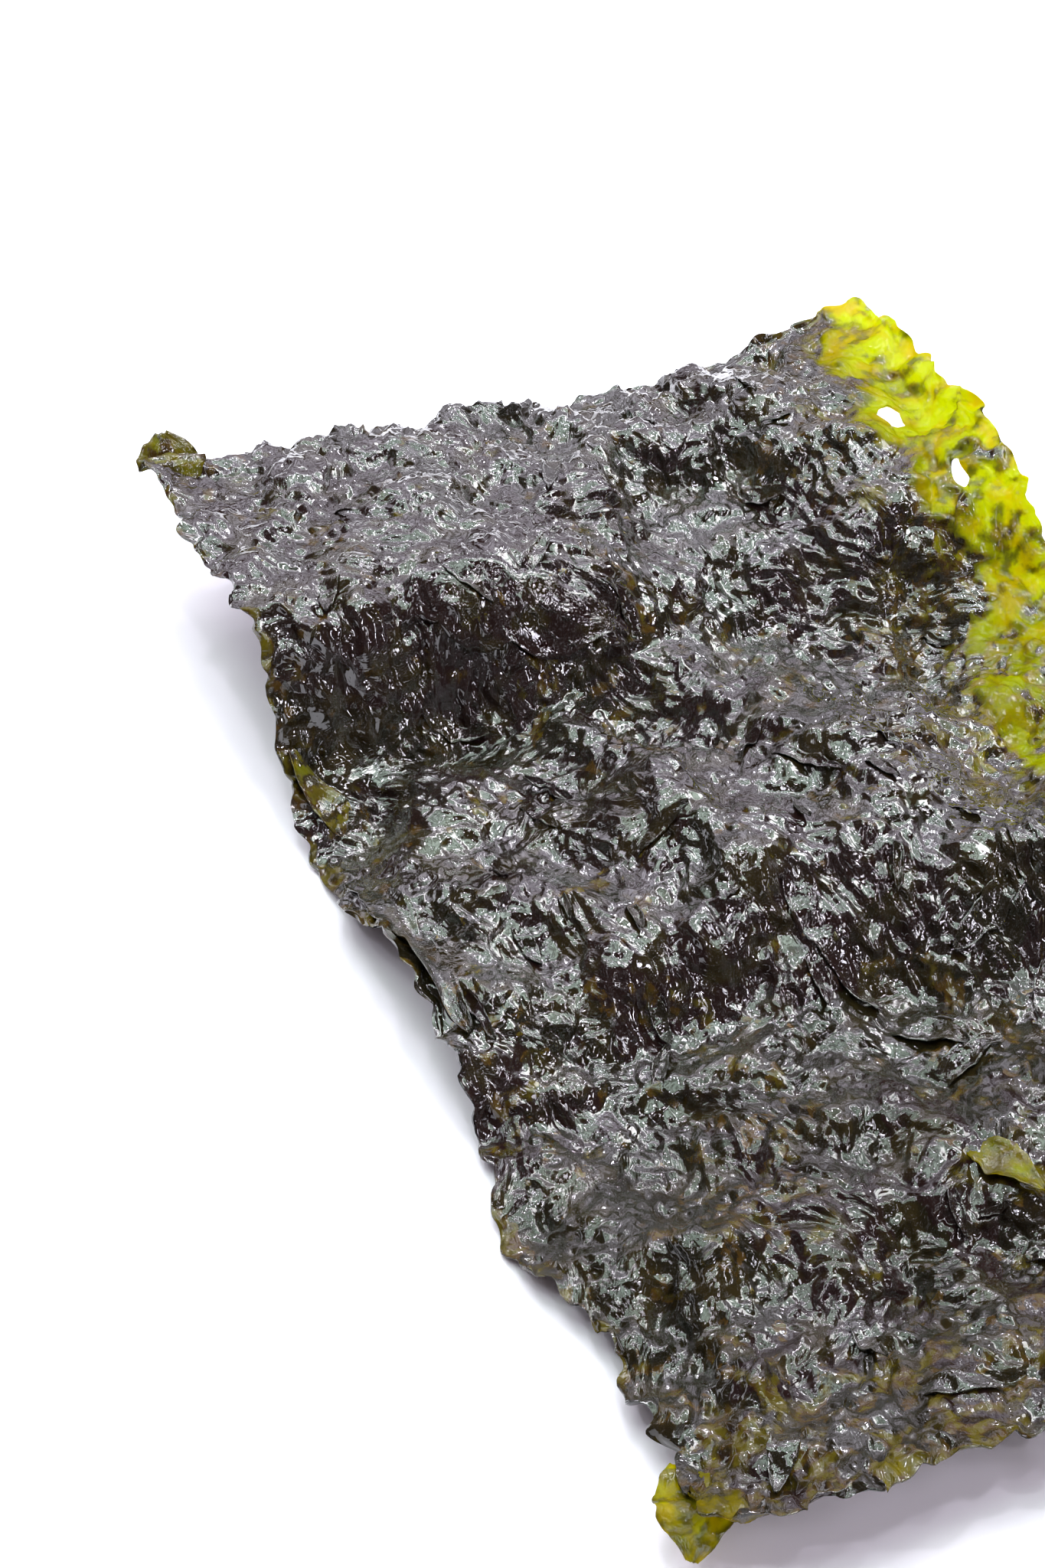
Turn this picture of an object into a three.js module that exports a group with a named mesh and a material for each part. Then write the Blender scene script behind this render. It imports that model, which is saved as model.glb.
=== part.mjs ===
// One cut sheet of roasted nori: a crisp, thin leaf that has dried in folds, with ragged cut edges.
// Millimetres, +Z up. The origin is on the ground under the middle of the sheet.
// s runs across the sheet from its left edge, t along it from its near edge.
import * as THREE from 'three';

// ---- driving dimensions, mm ----
const SHEET_WIDTH = 50.5;
const SHEET_LENGTH = 86;
const SHEET_THICKNESS = 0.45;
const CELL = 1.4;                 // one step of the grid that carries the folds
const SEED = 20;

// Folds that run across the sheet. Each has a steep face towards the near edge and a long gentle back.
// foot: t of the bottom of the steep face. height: from foot to brink. rise: plan width of the steep face.
// These are given at even steps from the left edge to the right one. fall: plan length of the back,
// and keep: the share of the height that is left beyond it.
const FOLDS = [
  { name: 'far fold', foot: [60.5, 60, 59.5, 61, 62.5, 59], height: [8.6, 8.4, 6.6, 2.6, 3.8, 2.8],
    rise: [6.5, 6.5, 6, 6, 4.5, 6], fall: 24, keep: 0.6 },
  { name: 'middle fold', foot: [33.5, 36, 33, 31.5, 28.5, 26], height: [3.0, 3.6, 5.2, 5.4, 5.0, 4.6],
    rise: [5.5, 6, 11, 9, 6.5, 6], fall: 14, keep: 0.1 },
  { name: 'near fold', foot: [18, 14.5, 15.5, 15.5, 13, 12], height: [1.6, 2.3, 2.2, 2.6, 2.4, 2.2],
    rise: [4.5, 4.5, 4, 4, 5, 5], fall: 8, keep: 0.1 },
];

// Broad swells and dips of the ground level between the folds: middle, half size across and along, height.
const SWELLS = [
  { s: 31, t: 53, across: 14, along: 12, height: 2.8 },
  { s: 9, t: 54, across: 9, along: 8, height: 1.6 },
  { s: 2, t: 88, across: 13, along: 13, height: 2.8 },
  { s: 20, t: 25, across: 13, along: 6, height: 1.3 },
  { s: 34, t: 79, across: 13, along: 9, height: 1.5 },
  { s: 43, t: 35, across: 9, along: 6, height: 1.2 },
  { s: 1, t: 57, across: 7, along: 5, height: -2.4 },
  { s: 41, t: 57, across: 7, along: 5, height: -2.0 },
  { s: 41, t: 23, across: 6, along: 5, height: -1.2 },
];

// Short creases: a raised crest from one point to another, with a steeper near side.
const CREASES = [
  { name: 'gully side', from: [17.5, 60], to: [19, 50], height: 1.6, nearSide: 1.6, farSide: 4.5 },
  { name: 'right shoulder', from: [26, 60], to: [33, 45], height: 1.3, nearSide: 2.2, farSide: 4 },
  { name: 'left lip', from: [0.6, 50], to: [0.8, 38.5], height: 2.2, nearSide: 1.8, farSide: 1.4 },
  { name: 'small terrace', from: [3, 35], to: [13, 31], height: 1.3, nearSide: 1.6, farSide: 4 },
  { name: 'far right ridge', from: [31, 76], to: [46, 70], height: 1.2, nearSide: 2, farSide: 4 },
  { name: 'near left ridge', from: [7.5, 19], to: [6, 8], height: 1.4, nearSide: 2.4, farSide: 2.8 },
  { name: 'near right ridge', from: [20, 8], to: [44, 15], height: 1.4, nearSide: 2.4, farSide: 4.5 },
];

// The near end curls up off the ground, and so does the far half of the right edge.
// sweep: how sharply each curl turns up. ramp: the length over which the right one begins.
const NEAR_CURL = { reach: 18, height: 5.2, sweep: 1.4 };
const RIGHT_CURL = { reach: 12, height: 3.6, sweep: 2, from: 60, ramp: 8 };
const GROUND_SINK = 0.7;          // how far the troughs would pass the ground; there they lie flat on it

// Fold lines and lumps wander: size of one swing and its reach in plan.
const WANDERS = [{ size: 13, reach: 2.4 }, { size: 4.2, reach: 0.8 }];

// Lumps all over: size of one lump and its height. A sharp one has a crease for its crest.
const LUMPS = [
  { size: 8.5, height: 1.5, sharp: false },
  { size: 4.4, height: 1.15, sharp: true },
  { size: 2.5, height: 0.6, sharp: true },
];
const CRINKLE = 0.14;             // random lift of each grid point, each way
const PLAN_WOBBLE = 0.22;         // random shift in plan, as a share of a cell

// Edges: the cut wanders slowly, frayed by small teeth. At its troughs the left edge stands out.
const EDGE_WANDER = { size: 11, depth: 0.7 };
const EDGE_TEETH = 0.6;
const CORNER = { reach: 2.6, depth: 1.1 };   // how each corner is worn back
const BULGE_DEPTH = 8.4;                     // how far in from the left edge a bulge stretches the sheet
const LEFT_BULGES = [
  { t: 54, reach: 12, out: 1.5 },
  { t: 25, reach: 7, out: 2.0 },
  { t: 4, reach: 4, out: 1.4 },
  { t: 86, reach: 6, out: 1.3 },
];

// Small through-holes in the thin strip by the right edge, with half their size across and along.
const HOLES = [
  { s: 45.4, t: 73.2, halfAcross: 0.65, halfAlong: 1.35 },
  { s: 46.6, t: 66.2, halfAcross: 0.6, halfAlong: 1.05 },
];

const COLUMNS = Math.round(SHEET_WIDTH / CELL);
const ROWS = Math.round(SHEET_LENGTH / CELL);

// ---- seeded random numbers and smooth noise ----
function randomSource(seed) {
  let state = seed >>> 0;
  return () => {
    state = (state + 0x6d2b79f5) >>> 0;
    let mixed = Math.imul(state ^ (state >>> 15), state | 1);
    mixed ^= mixed + Math.imul(mixed ^ (mixed >>> 7), mixed | 61);
    return ((mixed ^ (mixed >>> 14)) >>> 0) / 4294967296;
  };
}

const ease = (x) => THREE.MathUtils.smoothstep(x, 0, 1);

// Smooth noise from -1 to 1 on a lattice of random values.
function makeNoise(seed) {
  const side = 64;
  const random = randomSource(seed);
  const lattice = Array.from({ length: side * side }, () => random() * 2 - 1);
  const at = (i, j) => lattice[((j % side) + side) % side * side + ((i % side) + side) % side];
  return (x, y) => {
    const i = Math.floor(x);
    const j = Math.floor(y);
    const u = ease(x - i);
    const v = ease(y - j);
    const near = at(i, j) * (1 - u) + at(i + 1, j) * u;
    const far = at(i, j + 1) * (1 - u) + at(i + 1, j + 1) * u;
    return near * (1 - v) + far * v;
  };
}

// A value given at even steps across the width, read at s.
function across(values, s) {
  const place = THREE.MathUtils.clamp(s / SHEET_WIDTH, 0, 1) * (values.length - 1);
  const i = Math.min(Math.floor(place), values.length - 2);
  return THREE.MathUtils.lerp(values[i], values[i + 1], ease(place - i));
}

// ---- the form of the sheet ----
function foldHeight(fold, s, t) {
  const distance = t - across(fold.foot, s);
  const rise = across(fold.rise, s);
  const height = across(fold.height, s);
  if (distance < rise) return height * ease(distance / rise);
  return height * (1 - (1 - fold.keep) * ease((distance - rise) / fold.fall));
}

function creaseHeight(crease, s, t) {
  const [s0, t0] = crease.from;
  const length = Math.hypot(crease.to[0] - s0, crease.to[1] - t0);
  const alongS = (crease.to[0] - s0) / length;
  const alongT = (crease.to[1] - t0) / length;
  const along = (s - s0) * alongS + (t - t0) * alongT;
  const side = (t - t0) * alongS - (s - s0) * alongT;
  const past = Math.max(-along, along - length, 0);
  const width = side < 0 ? crease.nearSide : crease.farSide;
  const crossed = ease(1 - Math.abs(side) / width);
  return crease.height * crossed * ease(1 - past / (crease.nearSide + crease.farSide));
}

// A round-topped bump that falls to nothing at its reach.
const bump = (distance, reach) => ease(1 - Math.abs(distance) / reach);

function swellHeight(swell, s, t) {
  return swell.height * bump(Math.hypot((s - swell.s) / swell.across, (t - swell.t) / swell.along), 1);
}

function curlHeight(s, t) {
  const curl = ({ reach, height, sweep }, inside) => Math.max(1 - inside / reach, 0) ** sweep * height;
  const begun = ease((t - RIGHT_CURL.from) / RIGHT_CURL.ramp);
  return curl(NEAR_CURL, t) + curl(RIGHT_CURL, SHEET_WIDTH - s) * begun;
}

const wanderNoises = WANDERS.map((_, i) => [makeNoise(SEED + 2 * i), makeNoise(SEED + 2 * i + 1)]);
const lumpNoises = LUMPS.map((_, i) => makeNoise(SEED + 20 + i));
const edgeNoise = makeNoise(SEED + 30);

function formHeight(planS, planT) {
  let s = planS;
  let t = planT;
  WANDERS.forEach(({ size, reach }, i) => {
    s += reach * wanderNoises[i][0](planS / size, planT / size);
    t += reach * wanderNoises[i][1](planS / size, planT / size);
  });
  let height = curlHeight(planS, planT) - GROUND_SINK;
  for (const fold of FOLDS) height += foldHeight(fold, s, t);
  for (const swell of SWELLS) height += swellHeight(swell, s, t);
  for (const crease of CREASES) height += creaseHeight(crease, s, t);
  LUMPS.forEach((lump, i) => {
    const noise = lumpNoises[i](s / lump.size, t / lump.size);
    height += lump.height * (lump.sharp ? 1 - Math.abs(noise) * 2 : 0.5 + 0.5 * noise);
  });
  return height;
}

// ---- the grid of points, in plan ----
const random = randomSource(SEED);

// How far the cut runs inside the full width or length. line tells the four edges apart.
function cutEdge(along, line) {
  const wander = edgeNoise(along / EDGE_WANDER.size, line * 7);
  return EDGE_WANDER.depth * (0.5 + 0.5 * wander) + EDGE_TEETH * random();
}

// How far an edge is worn back near its ends.
function wornCorner(along, length) {
  const fromCorner = Math.min(along, length - along);
  return CORNER.depth * Math.max(1 - fromCorner / CORNER.reach, 0) ** 2;
}

function planPoint(column, row) {
  const wobble = () => (random() * 2 - 1) * PLAN_WOBBLE * CELL;
  const evenS = column / COLUMNS * SHEET_WIDTH;
  const evenT = row / ROWS * SHEET_LENGTH;
  const fromSide = () => cutEdge(evenT, column === 0 ? 0 : 1) + wornCorner(evenT, SHEET_LENGTH);
  const fromEnd = () => cutEdge(evenS, row === 0 ? 2 : 3) + wornCorner(evenS, SHEET_WIDTH);
  let s = evenS;
  let t = evenT;
  if (column === 0) s += fromSide();
  else if (column === COLUMNS) s -= fromSide();
  else s += wobble();
  if (row === 0) t += fromEnd();
  else if (row === ROWS) t -= fromEnd();
  else t += wobble();
  const stretched = Math.max(1 - s / BULGE_DEPTH, 0);
  for (const { t: middle, reach, out } of LEFT_BULGES) s -= out * bump(t - middle, reach) * stretched;
  return { s, t };
}

const pointIndex = (column, row) => row * (COLUMNS + 1) + column;

function makePoints() {
  const points = [];
  for (let row = 0; row <= ROWS; row += 1) {
    for (let column = 0; column <= COLUMNS; column += 1) points.push(planPoint(column, row));
  }
  return points;
}

// Opens each hole at its nearest cell: the cell's corners move out to the hole's size.
function openHoles(points) {
  return HOLES.map((hole) => {
    const column = Math.round(hole.s / SHEET_WIDTH * COLUMNS - 0.5);
    const row = Math.round(hole.t / SHEET_LENGTH * ROWS - 0.5);
    for (const [right, far] of [[0, 0], [1, 0], [1, 1], [0, 1]]) {
      const point = points[pointIndex(column + right, row + far)];
      point.s = hole.s + (right * 2 - 1) * hole.halfAcross * (0.75 + 0.25 * random());
      point.t = hole.t + (far * 2 - 1) * hole.halfAlong * (0.75 + 0.25 * random());
    }
    return pointIndex(column, row);
  });
}

// ---- triangles: the upper face, the lower face split alike, and a wall along every free edge ----
function upperTriangles(openCells) {
  const triangles = [];
  for (let row = 0; row < ROWS; row += 1) {
    for (let column = 0; column < COLUMNS; column += 1) {
      const a = pointIndex(column, row);
      const b = pointIndex(column + 1, row);
      const c = pointIndex(column + 1, row + 1);
      const d = pointIndex(column, row + 1);
      const split = random() < 0.5;
      if (openCells.includes(a)) continue;
      if (split) triangles.push([a, b, c], [a, c, d]);
      else triangles.push([a, b, d], [b, c, d]);
    }
  }
  return triangles;
}

function freeEdges(triangles) {
  const directed = new Set();
  const edges = [];
  for (const [a, b, c] of triangles) {
    for (const edge of [[a, b], [b, c], [c, a]]) {
      directed.add(edge.join(' '));
      edges.push(edge);
    }
  }
  return edges.filter(([from, to]) => !directed.has(`${to} ${from}`));
}

function sheetGeometry() {
  const points = makePoints();
  const openCells = openHoles(points);
  const triangles = upperTriangles(openCells);
  const positions = [];
  const count = points.length;
  const lower = points.map(({ s, t }) => {
    const height = formHeight(s, t) + CRINKLE * (random() * 2 - 1);
    return [s - SHEET_WIDTH / 2, t - SHEET_LENGTH / 2, Math.max(height, 0)];
  });
  for (const [x, y, z] of lower) positions.push(x, y, z + SHEET_THICKNESS);
  for (const [x, y, z] of lower) positions.push(x, y, z);
  const indices = [];
  for (const [a, b, c] of triangles) indices.push(a, b, c, count + a, count + c, count + b);
  for (const [from, to] of freeEdges(triangles)) {
    indices.push(from, count + from, count + to, from, count + to, to);
  }
  const geometry = new THREE.BufferGeometry();
  geometry.setAttribute('position', new THREE.Float32BufferAttribute(positions, 3));
  geometry.setIndex(indices);
  geometry.computeVertexNormals();
  return geometry;
}

// ---- the part ----
const roastedNori = new THREE.MeshStandardMaterial({
  color: new THREE.Color(0.045, 0.055, 0.04), roughness: 0.3, metalness: 0, flatShading: true,
});

const noriSheet = new THREE.Mesh(sheetGeometry(), roastedNori);
noriSheet.name = 'nori_sheet';

// The bulging edges move the middle of the outline; it goes back over the origin.
const middle = new THREE.Box3().setFromObject(noriSheet).getCenter(new THREE.Vector3());
noriSheet.position.set(-middle.x, -middle.y, 0);

const part = new THREE.Group();
part.add(noriSheet);
export default part;
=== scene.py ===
"""A cut sheet of roasted nori on a pale floor.

It is a crisp leaf of overlapping seaweed blades, finely wrinkled and oiled.
"""

import itertools
import math

import bpy
import numpy as np
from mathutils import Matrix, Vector
from mathutils.bvhtree import BVHTree
from mathutils.kdtree import KDTree


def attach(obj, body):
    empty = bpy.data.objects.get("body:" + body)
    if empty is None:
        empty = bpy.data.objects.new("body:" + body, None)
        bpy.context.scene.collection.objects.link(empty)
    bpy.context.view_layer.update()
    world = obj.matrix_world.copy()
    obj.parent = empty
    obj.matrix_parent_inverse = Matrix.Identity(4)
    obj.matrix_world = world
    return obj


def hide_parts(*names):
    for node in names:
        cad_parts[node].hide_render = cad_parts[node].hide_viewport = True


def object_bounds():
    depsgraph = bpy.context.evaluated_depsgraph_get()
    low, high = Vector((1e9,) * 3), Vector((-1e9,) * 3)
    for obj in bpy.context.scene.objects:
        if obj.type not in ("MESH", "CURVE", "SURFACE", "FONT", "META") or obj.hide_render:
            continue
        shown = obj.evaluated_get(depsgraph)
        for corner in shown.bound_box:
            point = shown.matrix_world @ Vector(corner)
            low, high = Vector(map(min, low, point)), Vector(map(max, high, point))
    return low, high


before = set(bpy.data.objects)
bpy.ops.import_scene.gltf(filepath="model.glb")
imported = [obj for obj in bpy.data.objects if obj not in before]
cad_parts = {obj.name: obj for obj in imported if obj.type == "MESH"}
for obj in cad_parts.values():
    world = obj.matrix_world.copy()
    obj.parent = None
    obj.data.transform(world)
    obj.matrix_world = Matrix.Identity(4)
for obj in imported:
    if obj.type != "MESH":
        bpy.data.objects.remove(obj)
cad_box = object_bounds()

MM = 0.001                  # lengths are in mm, except where a comment says metres
NODE = "nori_sheet"
SEED = 11

# ---- the sheet's own directions: s across it from its left edge, t along it from its near edge, in mm ----
SHEET_WIDTH = 50.5
SHEET_LENGTH = 86.0
LEFT_BULGE = 1.5            # how far the left edge's bulges reach past the line s = 0
NEAR_WEAR = 0.18            # how far the near edge is worn back from the line t = 0
S_ORIGIN = cad_box[0][0] / MM + LEFT_BULGE
T_ORIGIN = cad_box[0][1] / MM - NEAR_WEAR

# ---- the camera ----
LENS_MM = 100.0
SENSOR_MM = 36.0
VIEW_AZIMUTH = math.radians(-23.64)
VIEW_ELEVATION = math.radians(44.5)
VIEW_DISTANCE = 249.1 * MM
VIEW_TARGET = Vector((-13.0, 10.1, 6.0)) * MM
CLIP_START = 10 * MM


# ---------------------------------------------------------------- seeded noise
NOISE_GAIN = 1.7            # brings the noise to about -1 to 1
CREST_ROUNDNESS = 0.05


def gradient_table(seed):
    """256 shuffled numbers and as many unit directions."""
    rng = np.random.default_rng(seed)
    directions = rng.normal(size=(256, 3))
    directions /= np.linalg.norm(directions, axis=1)[:, None]
    return rng.permutation(256), directions


def noise(points, seed):
    """Smooth gradient noise, about -1 to 1, at points (n, 3)."""
    shuffle, directions = gradient_table(seed)
    corner_low = np.floor(points).astype(np.int64)
    inside = points - corner_low
    eased = inside ** 3 * (inside * (inside * 6 - 15) + 10)
    total = np.zeros(len(points))
    for corner in itertools.product((0, 1), repeat=3):
        cell = (corner_low + corner) & 255
        index = shuffle[(shuffle[(shuffle[cell[:, 0]] + cell[:, 1]) & 255] + cell[:, 2]) & 255]
        weight = np.prod(np.where(corner, eased, 1 - eased), axis=1)
        total += weight * np.einsum("ij,ij->i", directions[index], inside - corner)
    return total * NOISE_GAIN


def ridges(points, seed):
    """Meandering crests with smooth hollows between them, about -0.5 to 0.5."""
    value = noise(points, seed)
    return 0.5 - 1.6 * (np.sqrt(value ** 2 + CREST_ROUNDNESS ** 2) - CREST_ROUNDNESS)


def ease(x):
    """Goes smoothly from 0 to 1 as x does, and stays there beyond."""
    x = np.clip(x, 0, 1)
    return x * x * (3 - 2 * x)


# ---------------------------------------------------------------- mesh helpers
def only(obj):
    bpy.ops.object.select_all(action="DESELECT")
    obj.select_set(True)
    bpy.context.view_layer.objects.active = obj


def apply_modifier(obj, kind, **settings):
    only(obj)
    modifier = obj.modifiers.new(kind.lower(), kind)
    for name, value in settings.items():
        setattr(modifier, name, value)
    bpy.ops.object.modifier_apply(modifier=modifier.name)


def read_vectors(collection, field):
    flat = np.empty(len(collection) * 3)
    collection.foreach_get(field, flat)
    return flat.reshape(-1, 3)


def write_points(mesh, points):
    mesh.vertices.foreach_set("co", points.astype(np.float32).ravel())
    mesh.update()


def write_attribute(mesh, name, values):
    kind, field = ("FLOAT", "value") if values.ndim == 1 else ("FLOAT_VECTOR", "vector")
    layer = mesh.attributes.new(name, kind, "POINT")
    layer.data.foreach_set(field, values.astype(np.float32).ravel())


def take_vectors(mesh, name):
    """The vectors of a point attribute, which is then removed."""
    vectors = read_vectors(mesh.attributes[name].data, "vector")
    mesh.attributes.remove(mesh.attributes[name])
    return vectors


# ---------------------------------------------------------------- the leaf's skin
MERGE_WITHIN = 0.002
SUBDIVISIONS = 3


def upper_skin():
    """The upper face of the solid as an open skin, rounded and subdivided."""
    skin = bpy.data.objects.new("skin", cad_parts[NODE].data.copy())
    bpy.context.scene.collection.objects.link(skin)
    skin.data.materials.clear()
    only(skin)
    bpy.ops.object.mode_set(mode="EDIT")
    bpy.ops.mesh.select_all(action="SELECT")
    bpy.ops.mesh.remove_doubles(threshold=MERGE_WITHIN * MM)
    bpy.ops.mesh.select_all(action="DESELECT")
    bpy.ops.object.mode_set(mode="OBJECT")
    for polygon in skin.data.polygons:
        polygon.select = polygon.normal.z < 0.01
    bpy.ops.object.mode_set(mode="EDIT")
    bpy.context.tool_settings.mesh_select_mode = (False, False, True)
    bpy.ops.mesh.delete(type="FACE")
    bpy.ops.object.mode_set(mode="OBJECT")
    apply_modifier(skin, "SUBSURF", levels=SUBDIVISIONS, render_levels=SUBDIVISIONS)
    return skin


def rim_distance(mesh, points):
    """How far each point is from the skin's outline or a hole's, in mm."""
    ends = np.empty(len(mesh.edges) * 2, dtype=int)
    mesh.edges.foreach_get("vertices", ends)
    ends = ends.reshape(-1, 2)
    loops = np.empty(len(mesh.loops), dtype=int)
    mesh.loops.foreach_get("edge_index", loops)
    open_edges = np.bincount(loops, minlength=len(ends)) == 1
    rim = np.unique(ends[open_edges])
    tree = KDTree(len(rim))
    for index in rim:
        tree.insert(points[index], int(index))
    tree.balance()
    return np.array([tree.find(point)[2] for point in points])


BLADES = 260
BLADE_LENGTH = (6.0, 24.0)
BLADE_WIDTH = (3.0, 9.0)
BLADE_TURN = math.radians(40)
BLADE_BEND = 0.25
BLADE_THICKNESS = 0.08
SMOOTH_SHARE = 0.16         # the share of blades that dried smooth
SPILL = 3.0                 # how far past the sheet's edges a blade's middle may lie
OUT_OF_REACH = 9.0          # the distance given where no blade's edge is near


def lay_blades(s, t, points):
    """Scatters the blades. Says for each point which lies on top, how far the nearest edge is, how many lie
    there and how high they stand."""
    rng = np.random.default_rng(SEED)
    count = len(s)
    top = np.zeros(count, dtype=int)
    nearest = np.full(count, OUT_OF_REACH)
    layers = np.zeros(count)
    height = np.zeros(count)
    ragged = 0.24 * noise(points * 0.45, 3) + 0.12 * noise(points * 1.3, 4)
    for blade in range(1, BLADES):
        centre = rng.uniform((-SPILL, -SPILL), (SHEET_WIDTH + SPILL, SHEET_LENGTH + SPILL))
        length = rng.uniform(*BLADE_LENGTH)
        width = rng.uniform(*BLADE_WIDTH)
        turn = rng.normal(0, BLADE_TURN)
        bend = rng.normal(0, BLADE_BEND)
        close = np.flatnonzero(np.hypot(s - centre[0], t - centre[1]) < length * 0.8)
        along = (t[close] - centre[1]) * math.cos(turn) - (s[close] - centre[0]) * math.sin(turn)
        side = (t[close] - centre[1]) * math.sin(turn) + (s[close] - centre[0]) * math.cos(turn)
        side = side + bend * width * (along / length) ** 2 * 4
        reach = np.sqrt((2 * along / length) ** 2 + (2 * side / width) ** 2) + ragged[close]
        inside = (1 - reach) * width / 2
        covered = inside > 0
        top[close[covered]] = blade
        nearest[close] = np.where(covered, inside, np.minimum(nearest[close], -inside))
        layers[close] += covered
        height[close] += BLADE_THICKNESS * ease(inside / 0.25)
    return top, nearest, layers, height


# the inner border of the thin margin along the sheet's right side: places along the sheet, and across it
MARGIN_ALONG = (38, 41, 45, 51, 57, 62, 69, 73, 82, 88)
MARGIN_ACROSS = (47, 41, 38, 39.5, 41.5, 43, 42.5, 42.5, 45, 45.5)


def into_margin(s, t):
    """How far each place is past the inner border of the thin margin, in mm."""
    return s - np.interp(t, MARGIN_ALONG, MARGIN_ACROSS)


# other places where the leaf is thin: middle (s, t), reach, how much the outline wanders, and how thin
THIN_SPOTS = (
    ((0.8, 86), 2.2, 1.0, 0.6),
    ((-0.5, 3), 2.4, 1.0, 0.7),
    ((24.5, 17.5), 1.0, 1.3, 0.8),
)
# how thin the leaf gets elsewhere
FRINGE_THIN = 0.40          # beside the margin
NEAR_EDGE_THIN = 0.62
LEFT_EDGE_THIN = 0.4
SPECK_THIN = 0.40
BROWNED_THIN = 0.24
BROWNED_THIN_NEAR = 0.11    # how much more the browned patches have at the near end
FAR_CORNER_CLEAR = 0.35     # the share of its depth that the margin loses at its far end


def thinness(s, t, points, layers):
    """From 0 where the blades lie deep and let no light through to 1 where a single one lies."""
    wander = 1.5 * noise(points / 4.2, 12) + 0.9 * noise(points / 1.7, 13)
    inside = into_margin(s, t)
    margin = ease((inside + 1.5 * wander) / 2.0)
    broken = np.clip(0.6 + 0.9 * noise(points / 1.9, 51), 0, 1)
    fringe = FRINGE_THIN * ease((inside + 8 + 2 * wander) / 7) * broken
    near = NEAR_EDGE_THIN * ease((1.2 - t + 5.0 * noise(points / 1.8, 18) + 1.5 * wander) / 2.0)
    left = LEFT_EDGE_THIN * ease((0.7 - s + 0.8 * wander) / 0.8)
    specks = SPECK_THIN * ease((noise(points / 0.8, 14) + 0.45 * noise(points / 5, 15) - 0.80) / 0.12)
    near_end = ease(1.5 - t / 10)
    nearer = ease((38 - t) / 20)
    browned = noise(points / 1.6, 19) + 0.5 * noise(points / 7, 20) - 0.22 + 0.35 * near_end + 0.2 * nearer
    patches = (BROWNED_THIN + BROWNED_THIN_NEAR * near_end) * ease(browned / 0.35)
    places = [margin, fringe, near, left, specks, patches]
    for (middle_s, middle_t), reach, looseness, thin in THIN_SPOTS:
        away = np.hypot(s - middle_s, t - middle_t)
        places.append(thin * ease((reach - away + looseness * wander) / 1.5))
    open_place = np.maximum.reduce(places)
    depth = 0.05 * layers + 0.10 + 0.55 * noise(points / 2.2, 16) + 0.35 * noise(points / 0.8, 17)
    far_corner = FAR_CORNER_CLEAR * ease((t - 66) / 8)
    return np.clip(open_place * (1.0 - np.clip(depth, -0.1, 1) * (1 - far_corner * margin)), 0, 1)


LEAF_THICKNESS = 0.20
RIM_THICKNESS = 0.07
FLOOR_GAP = 0.01
FINE_BELOW = 0.35           # how much of the fine relief shows on the underside
GRAIN_TURN = 0.7            # how much the blades' grains differ in direction, in radians
ALONG_GRAIN = 0.42          # a wrinkle's width against its length
ALONG_STRANDS = 0.22        # a strand's width against its length, on the steep faces
SMOOTH_RELIEF = 0.28        # how strong the relief of a smooth blade is
USUAL_RELIEF = (0.7, 1.3)
GROOVE_DEPTH = 0.14
CURL_HEIGHT = 0.08          # of the bead along a blade's edge
RIM_STRAY = 0.85            # how far the ragged rim strays sideways
# layers of ridges: the size, the seed and the depth of each
WRINKLES = ((1.6, 24, 0.42), (0.85, 25, 0.23), (0.5, 28, 0.08))
STRANDS = ((0.95, 27, 0.30), (0.5, 30, 0.12))


def layered(points, ridge_layers):
    return sum(depth * ridges(points / size, seed) for size, seed, depth in ridge_layers)


def blade_characters():
    """Each blade's own turn of grain, strength of relief and tone."""
    rng = np.random.default_rng(SEED + 1)
    turn = rng.normal(0, GRAIN_TURN, BLADES)
    smooth = rng.uniform(0, 1, BLADES) < SMOOTH_SHARE
    strength = np.where(smooth, SMOOTH_RELIEF, rng.uniform(*USUAL_RELIEF, BLADES))
    tone = rng.uniform(0, 1, BLADES)
    return turn, strength, tone


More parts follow.
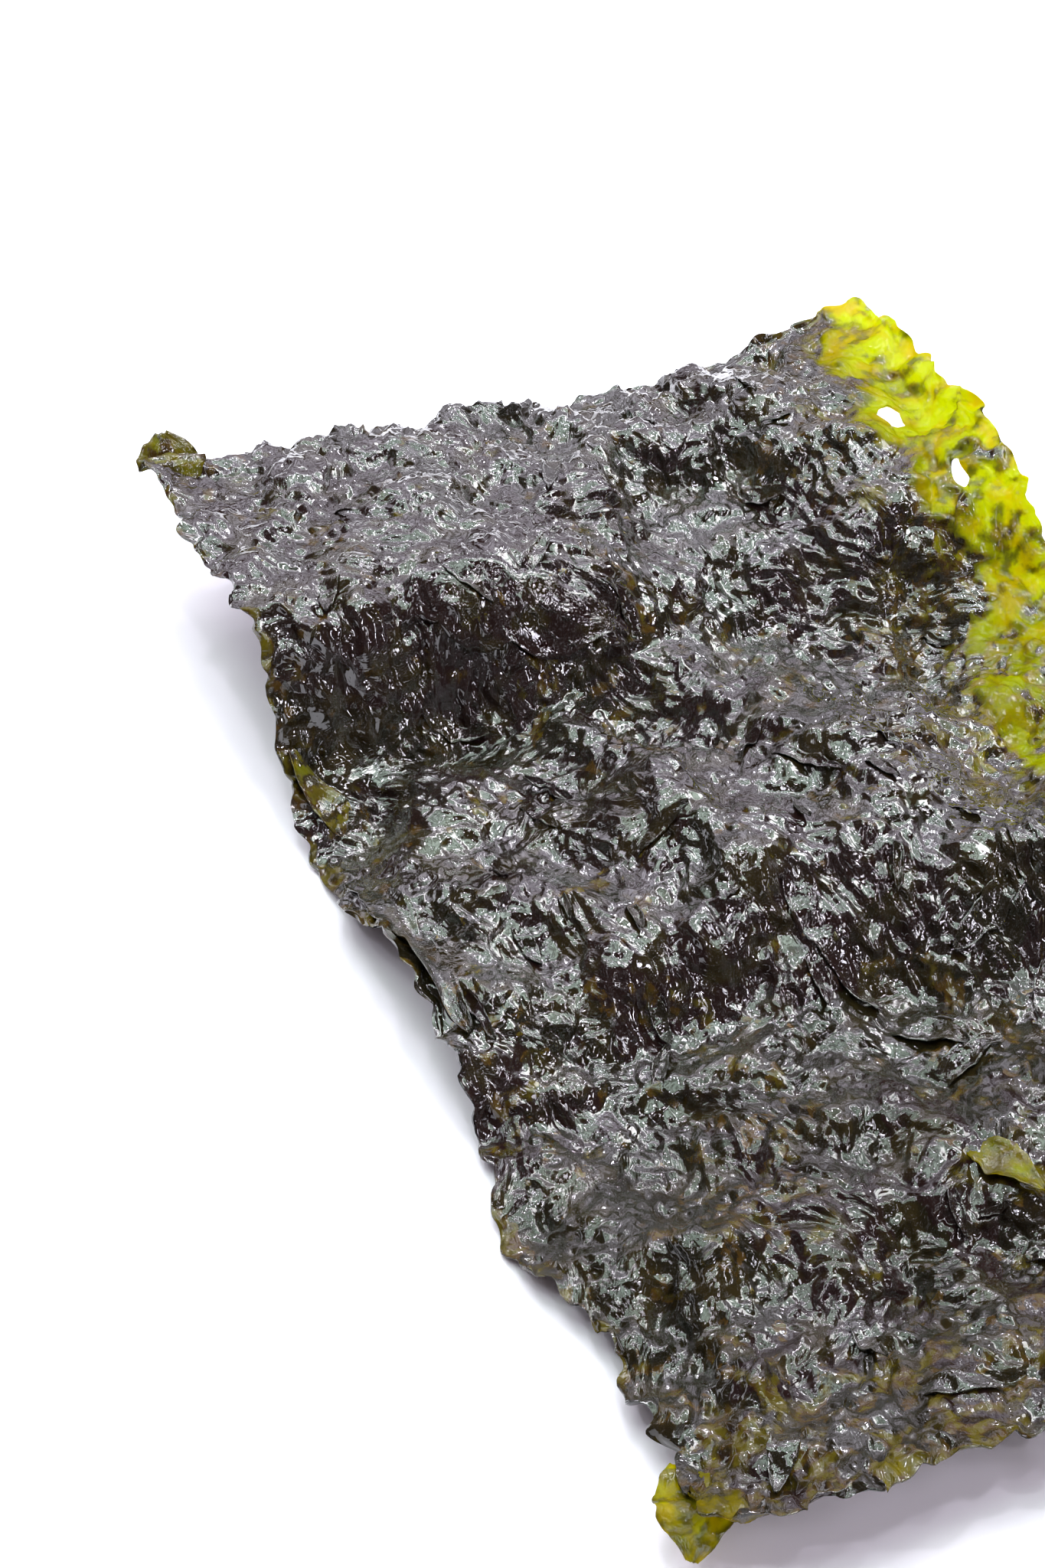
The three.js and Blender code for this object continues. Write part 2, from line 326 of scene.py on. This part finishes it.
def shape_skin(skin):
    """Puts the relief on the skin, and stores its underside and the shading normals of both sides."""
    mesh = skin.data
    points = read_vectors(mesh.vertices, "co") / MM
    normals = read_vectors(mesh.vertices, "normal")
    s = points[:, 0] - S_ORIGIN
    t = points[:, 1] - T_ORIGIN
    rim = rim_distance(mesh, points)
    top, nearest, layers, height = lay_blades(s, t, points)
    turn, strength, tone = blade_characters()
    across = s * np.cos(turn[top]) + t * np.sin(turn[top])
    along = t * np.cos(turn[top]) - s * np.sin(turn[top])
    grain = np.stack([across, along * ALONG_GRAIN, points[:, 2] * 0.6 + top * 17.3], axis=1)
    drift = np.stack([noise(grain / 1.5, seed) for seed in (21, 22, 23)], axis=1)
    flow = grain + 0.75 * drift
    # the wrinkles fade at a blade's edge, and are lower about the middle and towards the far end
    calm = ease((nearest - 0.05) / 0.3)
    patchy = 0.85 + 0.5 * noise(points / 3.3, 6)
    patchy -= 0.15 * np.exp(-((t - 49) / 8) ** 2) + 0.27 * ease((t - 64) / 8)
    steep = ease((0.94 - normals[:, 2]) / 0.25)
    strands = np.stack([s + 0.6 * drift[:, 0], t * ALONG_STRANDS, points[:, 2] * ALONG_STRANDS], axis=1)
    coarse = (
        0.26 * noise(points / 3.6, 8)
        + 0.18 * ridges(points / 2.6, 7)
        + (height - height.mean())
    )
    grooves = np.exp(-(noise(flow / 2.1, 29) / 0.09) ** 2)
    fine = (
        calm * strength[top] * patchy * (1 + 0.4 * steep) * layered(flow, WRINKLES)
        + steep * layered(strands, STRANDS)
        - GROOVE_DEPTH * calm * grooves
        + 0.08 * noise(points / 0.7, 26)
        + 0.02 * noise(points / 0.36, 35)
        + CURL_HEIGHT * np.exp(-((nearest - 0.12) / 0.15) ** 2)
    )
    ragged = (1 - ease(rim / 1.6)) * (0.65 + 0.5 * noise(points / 4.0, 34))
    thickness = RIM_THICKNESS + (LEAF_THICKNESS - RIM_THICKNESS) * ease(rim / 2.0)
    sideways = [noise(points / 1.3, 31), noise(points / 1.3, 32), 0.5 * noise(points / 1.6, 33)]
    base = points + RIM_STRAY * ragged[:, None] * np.stack(sideways, axis=1)
    under = base + normals * (coarse + FINE_BELOW * fine - thickness)[:, None]
    upper = base + normals * (coarse + fine)[:, None]
    under[:, 2] = np.maximum(under[:, 2], FLOOR_GAP)
    upper[:, 2] = np.maximum(upper[:, 2], FLOOR_GAP + RIM_THICKNESS)
    # what the material reads: away from the margin the thin places are amber, and the near end is less oiled
    amber = ease(0.5 - into_margin(s, t) / 5 + 0.4 * noise(points / 2.8, 52))
    oiled = np.clip(0.25 + 0.75 * ease((t - 24) / 22) + 0.35 * noise(points / 5, 53), 0, 1)
    creased = ease((nearest - 0.2) / 0.2) * (0.4 + 0.6 * np.clip(strength[top], 0, 1))
    write_attribute(mesh, "tone", tone[top])
    write_attribute(mesh, "thin", thinness(s, t, points, layers))
    write_attribute(mesh, "amber", amber)
    write_attribute(mesh, "oiled", oiled)
    write_attribute(mesh, "flow", flow)
    write_attribute(mesh, "creased", creased)
    write_points(mesh, under * MM)
    write_attribute(mesh, "under", under)
    write_attribute(mesh, "under_facing", -read_vectors(mesh.vertices, "normal"))
    write_points(mesh, upper * MM)
    write_attribute(mesh, "upper_facing", read_vectors(mesh.vertices, "normal"))


# ---------------------------------------------------------------- blades that stand off the leaf
# each: start (s, t), heading in degrees from the far end round to the right, length, width, how far its tip
# and its sides lift, how far it droops past the leaf's edge, how thin it is, and its tone
LOOSE_BLADES = (
    ((1.8, 83.4), 4, 3.2, 4.2, 1.5, 0.3, 0.0, 0.36, 0.9),
    ((10.5, 67.2), 114, 12.0, 4.0, 0.2, 0.4, 0.0, 0.0, 0.3),
    ((1.2, 54.0), 178, 16.0, 2.2, 0.2, 0.6, 0.0, 0.10, 0.8),
    ((22.4, 41.0), 166, 8.5, 2.2, 0.3, 0.1, 0.0, 0.0, 0.2),
    ((0.9, 8.0), 204, 6.0, 4.2, -0.4, 0.3, 2.4, 0.62, 0.9),
    ((23.4, 20.4), 158, 5.0, 2.2, 0.6, 0.5, 0.0, 0.50, 0.9),
    ((2.6, 58.2), -24, 4.4, 2.2, 0.9, 0.4, 0.0, 0.28, 0.9),
)
SCATTERED_BLADES = 48
SCATTERED_HEADING = (165, 60)       # the mean and the spread, in degrees
SCATTERED_LENGTH = (1.5, 5)
SCATTERED_WIDTH = (0.15, 0.4)       # a share of the length
SCATTERED_LIFT = (0.1, 0.7)
SCATTERED_FLARE = (0.1, 0.4)
BLADE_GRID = (34, 10)
LOOSE_THICKNESS = 0.05
LOOSE_CLEARANCE = 0.04
LOOSE_CREASED = 0.8
LOOSE_OILED = 0.7
ROOT_DEPTH = 0.35           # how deep a blade's root is sunk in the leaf
BRIDGING = 5                # how many times the heights under a blade are evened out
ABOVE_LEAF = 20.0           # a height that is clear of all of the leaf
MID_LEAF = 4.0


def scattered_blades():
    rng = np.random.default_rng(SEED + 2)
    for _ in range(SCATTERED_BLADES):
        start = rng.uniform((2, 4), (SHEET_WIDTH - 8, SHEET_LENGTH - 3))
        heading = rng.normal(*SCATTERED_HEADING)
        length = rng.uniform(*SCATTERED_LENGTH)
        width = length * rng.uniform(*SCATTERED_WIDTH)
        lift = rng.uniform(*SCATTERED_LIFT)
        flare = rng.uniform(*SCATTERED_FLARE)
        yield tuple(start), heading, length, width, lift, flare, 0.0, 0.0, rng.uniform()


def heights_under(tree, s, t):
    """The height of the leaf's upper side at each (s, t), or of its nearest edge."""
    heights = []
    for x, y in zip((s + S_ORIGIN) * MM, (t + T_ORIGIN) * MM):
        hit = tree.ray_cast(Vector((x, y, ABOVE_LEAF * MM)), Vector((0, 0, -1)))[0]
        if hit is None:
            hit = tree.find_nearest(Vector((x, y, MID_LEAF * MM)))[0]
        heights.append(hit.z / MM)
    return np.array(heights)


def bridged(heights, shape):
    """Heights on a grid, evened out so that a blade spans the small hollows under it."""
    grid = heights.reshape(shape)
    for _ in range(BRIDGING):
        grid = np.pad(grid, 1, mode="edge")
        beside = grid[:-2, 1:-1] + grid[2:, 1:-1] + grid[1:-1, :-2] + grid[1:-1, 2:]
        grid = (beside + 2 * grid[1:-1, 1:-1]) / 6
    return grid.ravel()


def loose_blade(tree, number, start, heading, length, width, lift, flare, droop, thin, tone):
    bpy.ops.object.select_all(action="DESELECT")
    bpy.ops.mesh.primitive_grid_add(x_subdivisions=BLADE_GRID[0], y_subdivisions=BLADE_GRID[1], size=2)
    blade = bpy.context.object
    blade.name = f"loose_blade_{number}"
    mesh = blade.data
    corners = read_vectors(mesh.vertices, "co")
    u = (corners[:, 0] + 1) / 2
    v = corners[:, 1]
    own = np.stack([u * length, v * width / 2, np.full(len(u), 9.7 * number)], axis=1)
    rng = np.random.default_rng(SEED + 40 + number)
    bend = rng.normal(0, 0.35)
    turn = math.radians(heading) + bend * (u - 0.5)
    # the root is half as wide as the blade, which is widest before its middle and ends in a narrow tip
    half = width / 2 * np.sin(math.pi * (0.10 + 0.87 * u) ** 0.85) ** 0.7
    half = half * (1 + 0.22 * noise(own / 1.7, 41) + 0.12 * noise(own / 0.6, 42))
    middle = math.radians(heading) + bend * (u / 2 - 0.5)
    s = start[0] + length * u * np.sin(middle) + v * half * np.cos(turn)
    t = start[1] + length * u * np.cos(middle) - v * half * np.sin(turn)
    shape = (BLADE_GRID[1] + 1, BLADE_GRID[0] + 1)
    z = bridged(heights_under(tree, s, t), shape)
    z += LOOSE_CLEARANCE - ROOT_DEPTH * (1 - ease(u / 0.2))
    z += lift * u ** 2 + flare * np.abs(v) ** 3 * (0.6 + 0.8 * noise(own / 2.5, 43)) - droop * u ** 1.5
    z += 0.16 * ridges(own / 1.4, 44) + 0.08 * ridges(own / 0.6, 45)
    z = np.maximum(z, 2 * LOOSE_THICKNESS)
    write_points(mesh, np.stack([s + S_ORIGIN, t + T_ORIGIN, z], axis=1) * MM)
    write_attribute(mesh, "flow", own)
    write_attribute(mesh, "creased", np.full(len(u), LOOSE_CREASED))
    write_attribute(mesh, "tone", np.full(len(u), tone))
    write_attribute(mesh, "amber", np.clip(0.6 + 0.6 * noise(own / 1.5, 47), 0, 1))
    write_attribute(mesh, "oiled", np.full(len(u), LOOSE_OILED))
    write_attribute(mesh, "thin", np.clip(thin * (1 + 0.5 * noise(own, 46)), 0, 1))
    apply_modifier(blade, "SOLIDIFY", thickness=LOOSE_THICKNESS * MM, offset=0.0)
    bpy.ops.object.mode_set(mode="EDIT")
    bpy.ops.mesh.select_all(action="SELECT")
    bpy.ops.mesh.normals_make_consistent(inside=False)
    bpy.ops.object.mode_set(mode="OBJECT")
    bpy.ops.object.shade_smooth()
    return blade


def make_loose_blades(skin):
    tree = BVHTree.FromObject(skin, bpy.context.evaluated_depsgraph_get())
    blades = [loose_blade(tree, n, *values) for n, values in enumerate((*LOOSE_BLADES, *scattered_blades()))]
    bpy.ops.object.select_all(action="DESELECT")
    for blade in blades:
        blade.select_set(True)
    bpy.context.view_layer.objects.active = blades[0]
    bpy.ops.object.join()
    joined = bpy.context.object
    joined.name = "loose_blades"
    joined.data.name = joined.name
    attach(joined, "root")
    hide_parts(NODE)
    return joined


# ---------------------------------------------------------------- the leaf's strips
STRIPS = 5


def cut_strips(skin):
    """Cuts the skin across into strips of like weight."""
    mesh = skin.data
    centres = read_vectors(mesh.polygons, "center")[:, 1]
    cuts = np.quantile(centres, np.arange(1, STRIPS) / STRIPS)
    strips = []
    for cut in cuts:
        only(skin)
        select = read_vectors(skin.data.polygons, "center")[:, 1] < cut
        skin.data.polygons.foreach_set("select", select)
        bpy.ops.object.mode_set(mode="EDIT")
        bpy.ops.mesh.separate(type="SELECTED")
        bpy.ops.object.mode_set(mode="OBJECT")
        strips.append(next(obj for obj in bpy.context.selected_objects if obj != skin))
    return strips + [skin]


def give_body(strip, number):
    """Closes a strip into a thin solid with the stored underside."""
    strip.name = f"nori_leaf_{number}"
    strip.data.name = strip.name
    count = len(strip.data.vertices)
    apply_modifier(strip, "SOLIDIFY", thickness=LEAF_THICKNESS * MM, offset=-1.0, use_even_offset=False)
    mesh = strip.data
    under = take_vectors(mesh, "under")
    under_facing = take_vectors(mesh, "under_facing")
    upper_facing = take_vectors(mesh, "upper_facing")
    points = read_vectors(mesh.vertices, "co")
    points[count:] = under[count:] * MM
    write_points(mesh, points)
    only(strip)
    bpy.ops.object.shade_smooth()
    facing = np.concatenate([upper_facing[:count], under_facing[count:]])
    mesh.normals_split_custom_set_from_vertices(facing.tolist())
    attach(strip, "root")
    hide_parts(NODE)


def make_leaf():
    skin = upper_skin()
    shape_skin(skin)
    loose = make_loose_blades(skin)
    strips = cut_strips(skin)
    for number, strip in enumerate(strips, 1):
        give_body(strip, number)
    return strips + [loose]


# ---------------------------------------------------------------- materials
class Shading:
    """A node tree under construction.

    A value given to a node may be a number, a colour or another node's output.
    """

    def __init__(self, owner):
        owner.use_nodes = True
        self.tree = owner.node_tree
        self.tree.nodes.clear()

    def node(self, kind, **settings):
        node = self.tree.nodes.new(kind)
        for name, value in settings.items():
            setattr(node, name, value)
        return node

    def put(self, socket, value):
        if isinstance(value, bpy.types.NodeSocket):
            self.tree.links.new(value, socket)
        elif isinstance(value, tuple) and len(socket.default_value) == 4:
            socket.default_value = (*value, 1.0)
        else:
            socket.default_value = value

    def attribute(self, name, output="Fac"):
        return self.node("ShaderNodeAttribute", attribute_name=name).outputs[output]

    def maths(self, operation, *values):
        node = self.node("ShaderNodeMath", operation=operation)
        for socket, value in zip(node.inputs, values):
            self.put(socket, value)
        return node.outputs[0]

    def vector_maths(self, operation, a, b, output="Vector"):
        node = self.node("ShaderNodeVectorMath", operation=operation)
        self.put(node.inputs[0], a)
        self.put(node.inputs[1], b)
        return node.outputs[output]

    def ramp(self, value, low, high, to_low=0.0, to_high=1.0):
        node = self.node("ShaderNodeMapRange", interpolation_type="SMOOTHSTEP")
        for socket, number in zip(node.inputs, (value, low, high, to_low, to_high)):
            self.put(socket, number)
        return node.outputs[0]

    def mix(self, factor, a, b):
        node = self.node("ShaderNodeMix", data_type="RGBA")
        self.put(node.inputs[0], factor)
        self.put(node.inputs[6], a)
        self.put(node.inputs[7], b)
        return node.outputs[2]

    def noise(self, vector, scale, detail=2.0, distortion=0.0):
        node = self.node("ShaderNodeTexNoise")
        self.put(node.inputs["Vector"], vector)
        self.put(node.inputs["Scale"], scale)
        self.put(node.inputs["Detail"], detail)
        self.put(node.inputs["Distortion"], distortion)
        return node.outputs["Fac"]

    def bump(self, height, depth_mm, over=None):
        node = self.node("ShaderNodeBump")
        self.put(node.inputs["Strength"], 1.0)
        self.put(node.inputs["Distance"], depth_mm * MM)
        self.put(node.inputs["Height"], height)
        if over:
            self.put(node.inputs["Normal"], over)
        return node.outputs[0]


# the leaf's colours, from where the blades lie deep to where a single one lies. The two of a pair mix in
# patches, and away from the margin olive and yellow turn to their ambers.
DEEP = ((0.0105, 0.0045, 0.0042), (0.0080, 0.0060, 0.0025))
DEEP_PATCH = (0.017, 0.0115, 0.0035)
BROWN = ((0.025, 0.018, 0.003), (0.046, 0.024, 0.004))
OLIVE = ((0.17, 0.175, 0.005), (0.24, 0.18, 0.006))
OLIVE_AMBER = (0.105, 0.080, 0.008)
YELLOW = ((0.68, 0.73, 0.004), (0.70, 0.60, 0.004))
YELLOW_AMBER = (0.42, 0.34, 0.006)
# creases and fine lines that are too small for the mesh, in mm
CREASE_SIZE = 0.42
CREASE_DEPTH = 0.12
CREASE_ROUNDING = 0.0005
LINE_SIZE = 0.2
LINE_DEPTH = 0.018


def nori_material():
    material = bpy.data.materials.new("roasted_nori")
    net = Shading(material)
    place = net.node("ShaderNodeTexCoord").outputs["Object"]

    def pattern(size_mm, detail=2.0):
        return net.noise(place, 1 / (size_mm * MM), detail)

    body = net.mix(net.ramp(net.attribute("tone"), 0.3, 0.7), *DEEP)
    body = net.mix(net.ramp(pattern(2.5), 0.48, 0.64), body, DEEP_PATCH)
    thin = net.maths("ADD", net.attribute("thin"), net.ramp(pattern(0.7, 3.0), 0.35, 0.65, -0.12, 0.12))
    amber = net.attribute("amber")
    brown = net.mix(net.ramp(pattern(1.5), 0.42, 0.58), *BROWN)
    olive = net.mix(net.ramp(pattern(0.9), 0.4, 0.6), *OLIVE)
    olive = net.mix(amber, olive, OLIVE_AMBER)
    yellow = net.mix(net.ramp(pattern(1.8, 3.0), 0.4, 0.65), *YELLOW)
    yellow = net.mix(amber, yellow, YELLOW_AMBER)
    body = net.mix(net.ramp(thin, 0.10, 0.25), body, brown)
    body = net.mix(net.ramp(thin, 0.25, 0.45), body, olive)
    body = net.mix(net.ramp(thin, 0.45, 0.80), body, yellow)

    # creases and fine lines that follow each blade's own grain, under a smooth film of oil
    flow = net.attribute("flow", "Vector")
    creased = net.attribute("creased")
    fold = net.maths("SUBTRACT", net.noise(flow, 1 / CREASE_SIZE, 1.0, 0.5), 0.5)
    fold = net.maths("SQRT", net.maths("MULTIPLY_ADD", fold, fold, CREASE_ROUNDING))
    drawn_out = net.vector_maths("MULTIPLY", flow, (1.0, 0.22, 1.0))
    lines = net.noise(drawn_out, 1 / LINE_SIZE, 1.0, 1.2)
    folds = net.bump(net.maths("MULTIPLY", fold, creased), -CREASE_DEPTH)
    relief = net.bump(net.maths("MULTIPLY", lines, creased), LINE_DEPTH, folds)

    shader = net.node("ShaderNodeBsdfPrincipled")
    net.put(shader.inputs["Base Color"], body)
    net.put(shader.inputs["Roughness"], net.ramp(pattern(1.1), 0.35, 0.65, 0.03, 0.10))
    net.put(shader.inputs["IOR"], 1.45)
    film = net.ramp(net.attribute("oiled"), 0.0, 1.0, 0.15, 1.0)
    net.put(shader.inputs["Coat Weight"], net.maths("MULTIPLY", film, net.ramp(thin, 0.05, 0.35, 1.0, 0.5)))
    net.put(shader.inputs["Coat Roughness"], 0.03)
    net.put(shader.inputs["Coat IOR"], 1.5)
    net.put(shader.inputs["Coat Normal"], folds)
    net.put(shader.inputs["Normal"], relief)
    through = net.node("ShaderNodeBsdfTranslucent")
    net.put(through.inputs["Color"], body)
    blend = net.node("ShaderNodeMixShader")
    net.put(blend.inputs[0], net.ramp(thin, 0.10, 0.8, 0.0, 0.85))
    net.put(blend.inputs[1], shader.outputs[0])
    net.put(blend.inputs[2], through.outputs[0])
    net.put(net.node("ShaderNodeOutputMaterial").inputs["Surface"], blend.outputs[0])
    return material


# ---------------------------------------------------------------- floor, light and camera
FLOOR_SIZE = 4.0            # metres
FLOOR_DROP = 0.02           # keeps the floor off the plane of the solid's lowest faces
FLOOR_COLOUR = (0.90, 0.865, 0.91)
FLOOR_ROUGHNESS = 0.8
WHITE = (1.0, 0.98, 1.0)
COOL_WHITE = (0.96, 0.94, 1.0)
LILAC = (0.90, 0.87, 1.0)
MINT = (0.81, 1.0, 0.90)
LAMP_DISTANCE = 0.8         # metres
# lamps: azimuth and elevation in degrees, width in metres, radiance and colour
LAMPS = {
    "key": (60, 52, 0.22, 13.0, WHITE),
    "front_window": (135, 56, 0.12, 13.0, LILAC),
    "low_window": (125, 24, 0.13, 15.0, LILAC),
    "left_window": (-100, 50, 0.14, 6.0, LILAC),
}
# small bright lamps that put glints on the oiled wrinkles: azimuth and elevation
SPARKS = (
    (-40, 76), (175, 72), (20, 58), (-75, 55), (105, 66), (35, 33), (128, 24),
    (-15, 66), (70, 74), (-120, 62), (145, 48), (-30, 45),
)
SPARK_WIDTH = 0.022         # metres
SPARK_RADIANCE = 300.0
# soft panels of light in the room, of which the last two are narrow bars: azimuth, elevation, half width and
# half height in degrees, radiance and colour
PANELS = (
    (10, 20, 60, 12, 1.0, LILAC),
    (5, 42, 46, 12, 1.9, LILAC),
    (-10, 80, 38, 23, 3.7, MINT),
    (0, 55, 38, 2.5, 9.0, COOL_WHITE),
    (140, 50, 22, 2.2, 9.0, COOL_WHITE),
)
ROOM_DARK = (0.070, 0.052, 0.050)
ROOM_SPOTS = (1.9, 1.8, 2.0)


def floor_material():
    material = bpy.data.materials.new("pale_floor")
    net = Shading(material)
    shader = net.node("ShaderNodeBsdfPrincipled")
    net.put(shader.inputs["Base Color"], FLOOR_COLOUR)
    net.put(shader.inputs["Roughness"], FLOOR_ROUGHNESS)
    net.put(net.node("ShaderNodeOutputMaterial").inputs["Surface"], shader.outputs[0])
    return material


def make_floor():
    bpy.ops.object.select_all(action="DESELECT")
    bpy.ops.mesh.primitive_plane_add(size=FLOOR_SIZE, location=(0, 0, -FLOOR_DROP * MM))
    floor = bpy.context.object
    floor.name = "floor"
    bpy.ops.object.transform_apply(location=True, rotation=True, scale=True)
    floor.data.materials.append(floor_material())


def towards(azimuth, elevation):
    """The direction of a light. Azimuth 0 is behind the sheet as the camera sees it, 90 to the right."""
    turn = math.radians(azimuth) - VIEW_AZIMUTH
    rise = math.radians(elevation)
    return Vector((math.sin(turn) * math.cos(rise), math.cos(turn) * math.cos(rise), math.sin(rise)))


def lamp(name, azimuth, elevation, width, radiance, colour):
    """A square lamp that faces the sheet."""
    away = towards(azimuth, elevation)
    data = bpy.data.lights.new(name, "AREA")
    data.size = width
    data.energy = radiance * math.pi * width ** 2
    data.color = colour
    light = bpy.data.objects.new(name, data)
    bpy.context.scene.collection.objects.link(light)
    light.location = away * LAMP_DISTANCE
    light.rotation_euler = away.to_track_quat("Z", "Y").to_euler()


def make_room():
    """A dim room with soft panels of light, broad ones behind and above the sheet and narrow bars."""
    world = bpy.data.worlds.new("room")
    net = Shading(world)
    direction = net.node("ShaderNodeTexCoord").outputs["Generated"]
    uneven = net.ramp(net.noise(direction, 6.0, 1.0, 0.4), 0.40, 0.60, 0.4, 1.6)

    def panel(light, azimuth, elevation, half_width, half_height, radiance, colour):
        away = towards(azimuth, elevation)
        turned = away.to_track_quat("Z", "Y")
        total = 0.0
        for axis, half in (((1, 0, 0), half_width), ((0, 1, 0), half_height)):
            side = net.vector_maths("DOT_PRODUCT", direction, tuple(turned @ Vector(axis)), "Value")
            ratio = net.maths("DIVIDE", side, math.sin(math.radians(half)))
            total = net.maths("ADD", net.maths("POWER", net.maths("ABSOLUTE", ratio), 3.0), total)
        facing = net.ramp(net.vector_maths("DOT_PRODUCT", direction, tuple(away), "Value"), 0.0, 0.1)
        strength = net.maths("MULTIPLY", net.ramp(total, 0.3, 1.3, radiance, 0.0), facing)
        shade = net.vector_maths("SCALE", tuple(colour), (0, 0, 0))
        net.put(shade.node.inputs["Scale"], net.maths("MULTIPLY", strength, uneven))
        return net.vector_maths("ADD", light, shade)

    spots = net.ramp(net.noise(direction, 8.0, 2.0), 0.60, 0.70)
    light = net.mix(spots, ROOM_DARK, ROOM_SPOTS)
    for values in PANELS:
        light = panel(light, *values)
    background = net.node("ShaderNodeBackground")
    net.put(background.inputs["Color"], light)
    net.put(net.node("ShaderNodeOutputWorld").inputs["Surface"], background.outputs[0])
    bpy.context.scene.world = world


def make_lights():
    make_room()
    for name, values in LAMPS.items():
        lamp(name, *values)
    for number, (azimuth, elevation) in enumerate(SPARKS):
        lamp(f"spark_{number}", azimuth, elevation, SPARK_WIDTH, SPARK_RADIANCE, LILAC)


def make_camera():
    data = bpy.data.cameras.new("camera")
    data.lens = LENS_MM
    data.sensor_width = SENSOR_MM
    data.clip_start = CLIP_START
    camera = bpy.data.objects.new("camera", data)
    bpy.context.scene.collection.objects.link(camera)
    away = Vector((
        math.sin(VIEW_AZIMUTH) * math.cos(VIEW_ELEVATION),
        -math.cos(VIEW_AZIMUTH) * math.cos(VIEW_ELEVATION),
        math.sin(VIEW_ELEVATION),
    ))
    camera.location = VIEW_TARGET + away * VIEW_DISTANCE
    camera.rotation_euler = away.to_track_quat("Z", "Y").to_euler()
    bpy.context.scene.camera = camera


nori = nori_material()
for piece in make_leaf():
    piece.data.materials.append(nori)
make_floor()
make_lights()
make_camera()
bpy.context.scene.view_settings.view_transform = "Standard"
